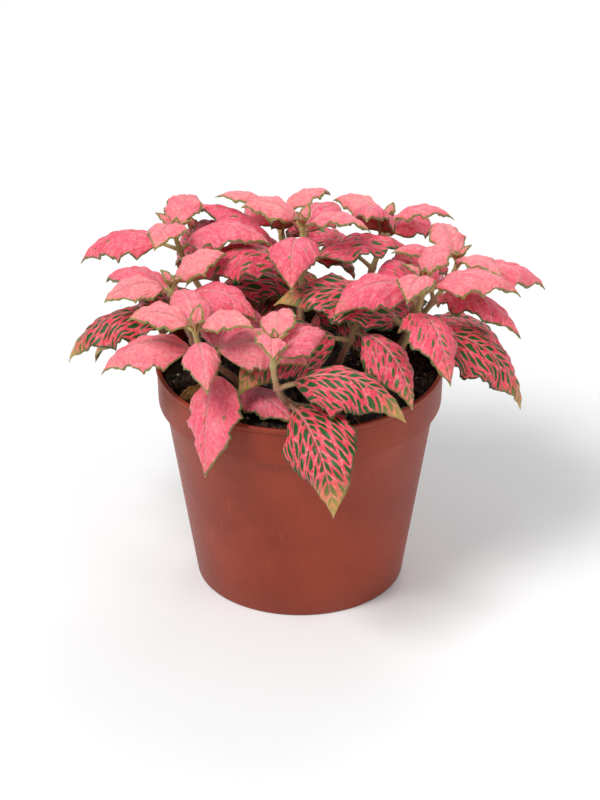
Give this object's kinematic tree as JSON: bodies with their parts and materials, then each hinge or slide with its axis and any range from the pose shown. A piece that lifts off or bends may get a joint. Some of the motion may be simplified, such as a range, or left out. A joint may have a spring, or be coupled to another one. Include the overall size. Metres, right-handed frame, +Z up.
{
  "type": "potted nerve plant",
  "caption": "Low bushy house plant with arched, pointed pink leaves netted and edged in green, rooted in soil in a plain tapered terracotta-coloured plastic nursery pot.",
  "frame": {"origin": "centre of the pot's underside, on the surface that the pot stands on", "axes": "+Z up along the pot's axis, -Y towards the side that the picture shows, +X to the right from there"},
  "size_m": [0.1995, 0.189, 0.1627],
  "materials": {
    "pot_plastic": "moulded terracotta-coloured plastic with a soft sheen",
    "potting_soil": "damp dark peat with tan fibres and pale grains",
    "foliage": "pink blades with a green net and a thin green margin, downy stems",
    "withered_leaf": "dry ochre-brown leaf"
  },
  "bodies": {
    "root": {"pot": "pot_plastic", "soil": "potting_soil", "withered_leaf": "withered_leaf", "leafy_stem_front_left": "foliage", "leafy_stem_front": "foliage", "leafy_stem_front_right": "foliage", "leafy_stem_right": "foliage", "leafy_stem_middle": "foliage", "leafy_stem_left_back": "foliage", "leafy_stem_left": "foliage", "leafy_stem_right_back": "foliage", "leafy_stem_back_right": "foliage", "leafy_stem_back": "foliage", "leafy_stem_back_left": "foliage"}
  },
  "joints": []
}
